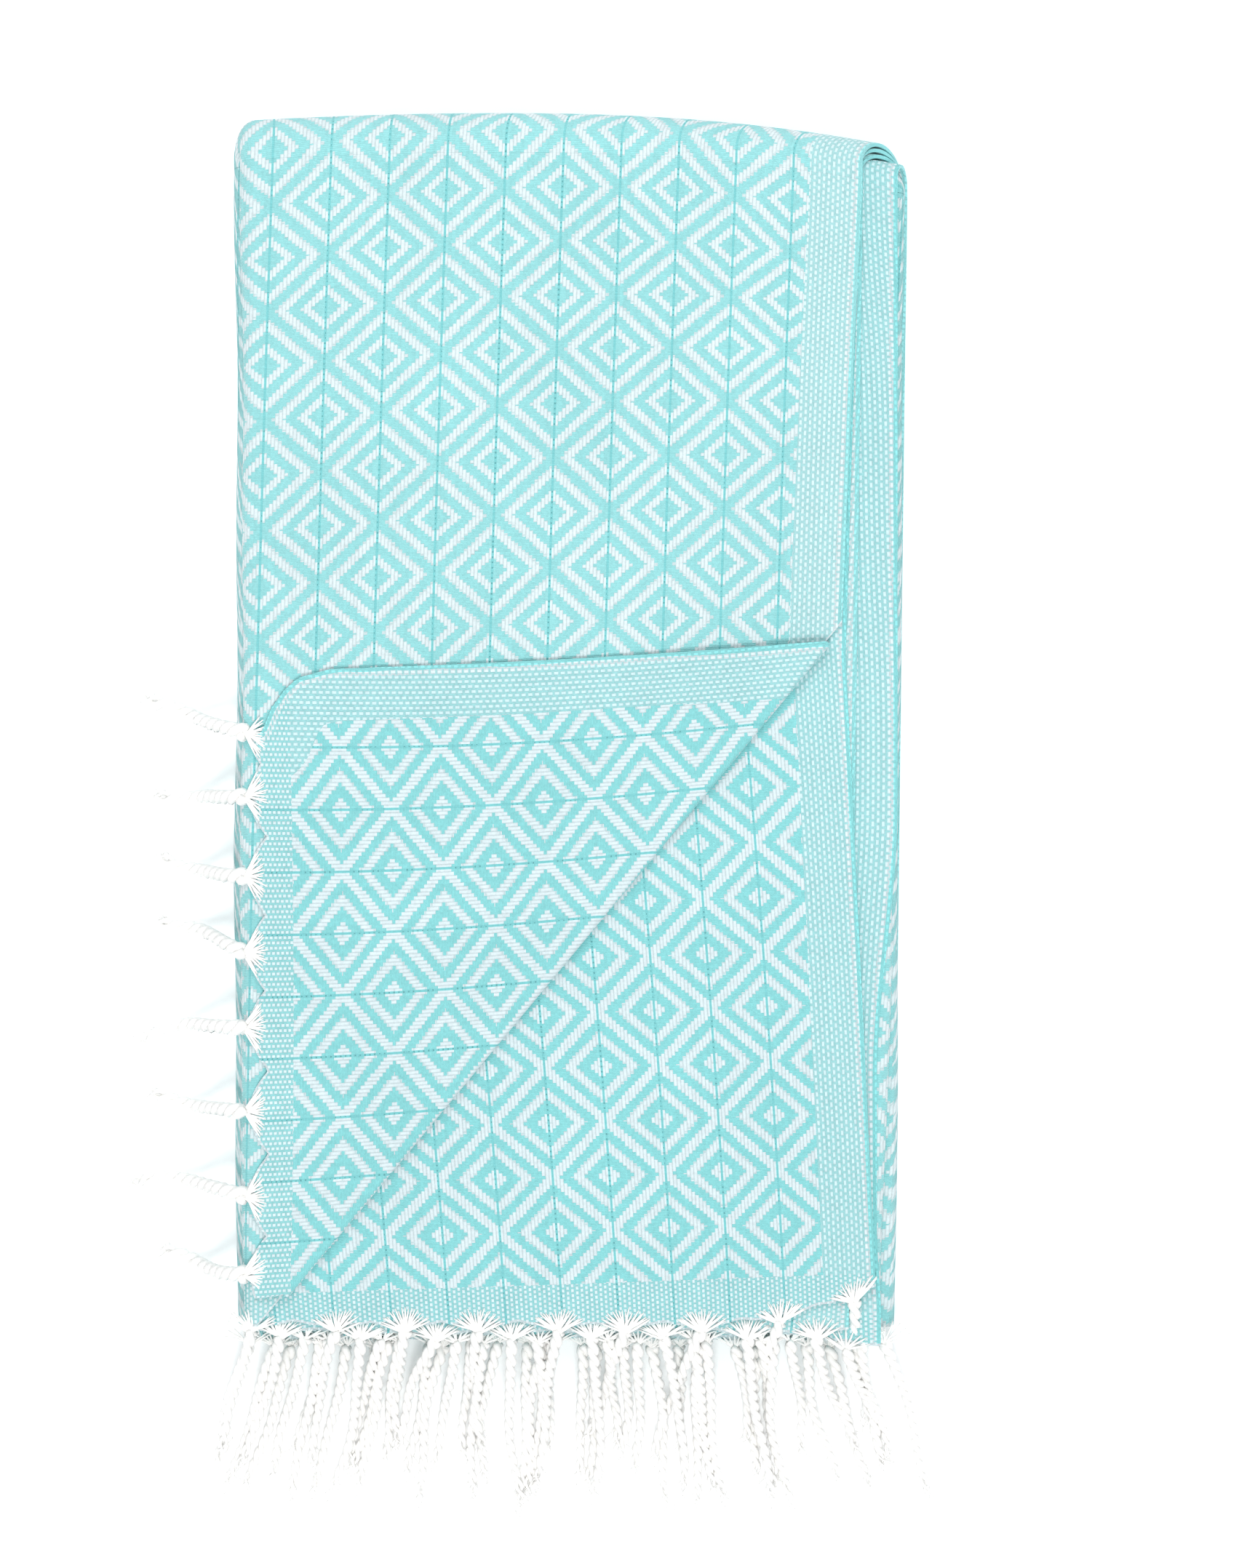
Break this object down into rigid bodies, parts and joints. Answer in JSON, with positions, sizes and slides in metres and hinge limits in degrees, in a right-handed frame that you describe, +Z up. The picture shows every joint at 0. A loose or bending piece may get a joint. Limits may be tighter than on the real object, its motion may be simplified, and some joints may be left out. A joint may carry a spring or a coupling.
{
  "type": "folded hammam towel",
  "caption": "Folded woven cotton bath towel in a two-colour diamond weave, its top corner turned back and both warp ends twisted into tassels.",
  "frame": {"origin": "middle of the folded towel, on the underside of its lowest layer", "axes": "+Z up, +Y along the folded towel from its fringed ends to the last fold, +X across it, towards the selvedges"},
  "size_m": [0.3023, 0.5091, 0.0312],
  "materials": {
    "cloth": "matt two-colour cotton jacquard, turquoise and white",
    "fringe": "matt white cotton, twisted"
  },
  "bodies": {
    "lower_half": {"lower_leaf_1": "cloth", "lower_leaf_2": "cloth", "lower_leaf_3": "cloth", "lower_leaf_4": "cloth", "lower_leaf_5": "cloth", "lower_leaf_6": "cloth", "lower_leaf_7": "cloth", "lower_leaf_8": "cloth", "lower_left_fold_1": "cloth", "lower_left_fold_2": "cloth", "lower_left_fold_3": "cloth", "lower_left_fold_4": "cloth", "lower_right_fold_1": "cloth", "lower_right_fold_2": "cloth", "bottom_fold_1": "cloth", "bottom_fold_2": "cloth", "bottom_fold_3": "cloth", "bottom_fold_4": "cloth", "top_fold_1": "cloth", "top_fold_2": "cloth", "top_fold_3": "cloth", "top_fold_4": "cloth", "top_fold_5": "cloth", "top_fold_6": "cloth", "top_fold_7": "cloth", "top_fold_8": "cloth", "top_fold_left_turn": "cloth", "top_fold_right_turn": "cloth"},
    "upper_half": {"upper_leaf_1": "cloth", "upper_leaf_2": "cloth", "upper_leaf_3": "cloth", "upper_leaf_4": "cloth", "upper_leaf_5": "cloth", "upper_leaf_6": "cloth", "second_leaf": "cloth", "top_leaf": "cloth", "upper_left_fold_1": "cloth", "upper_left_fold_2": "cloth", "upper_left_fold_3": "cloth", "upper_left_fold_4": "cloth", "upper_right_fold_1": "cloth", "upper_right_fold_2": "cloth", "upper_leaf_1_tassels": "fringe", "upper_leaf_2_tassels": "fringe", "upper_leaf_3_tassels": "fringe", "upper_leaf_4_tassels": "fringe", "upper_leaf_5_tassels": "fringe", "upper_leaf_6_tassels": "fringe", "second_leaf_tassels": "fringe"},
    "turned_corner": {"corner_flap": "cloth", "corner_roll": "cloth"},
    "corner_fringe": {"flap_tassel_1": "fringe", "flap_tassel_2": "fringe", "flap_tassel_3": "fringe", "flap_tassel_4": "fringe", "flap_tassel_5": "fringe", "flap_tassel_6": "fringe", "flap_tassel_7": "fringe", "flap_tassel_8": "fringe"}
  },
  "joints": [
    {"name": "last_fold_opens", "type": "hinge", "parent": "lower_half", "child": "upper_half", "pos_m": [0, 0.20765, 0.01475], "axis": [-1, 0, 0], "range_deg": [0, 180], "deforming": ["top_fold_1", "top_fold_2", "top_fold_3", "top_fold_4", "top_fold_5", "top_fold_6", "top_fold_7", "top_fold_8", "top_fold_left_turn", "top_fold_right_turn"]},
    {"name": "corner_turns_back", "type": "hinge", "parent": "upper_half", "child": "turned_corner", "pos_m": [0.06906, 0, 0.02785], "axis": [0.6388, 0.7694, 0], "range_deg": [0, 180], "deforming": ["corner_roll"]},
    {"name": "corner_fringe_swings", "type": "hinge", "parent": "turned_corner", "child": "corner_fringe", "pos_m": [-0.115, -0.1, 0.0296], "axis": [0, 1, 0], "range_deg": [0, 31], "deforming": ["flap_tassel_1", "flap_tassel_2", "flap_tassel_3", "flap_tassel_4", "flap_tassel_5", "flap_tassel_6", "flap_tassel_7", "flap_tassel_8"]}
  ],
  "couplings": [
    {"joint": "corner_fringe_swings", "follows": "corner_turns_back", "ratio": 0.17}
  ]
}
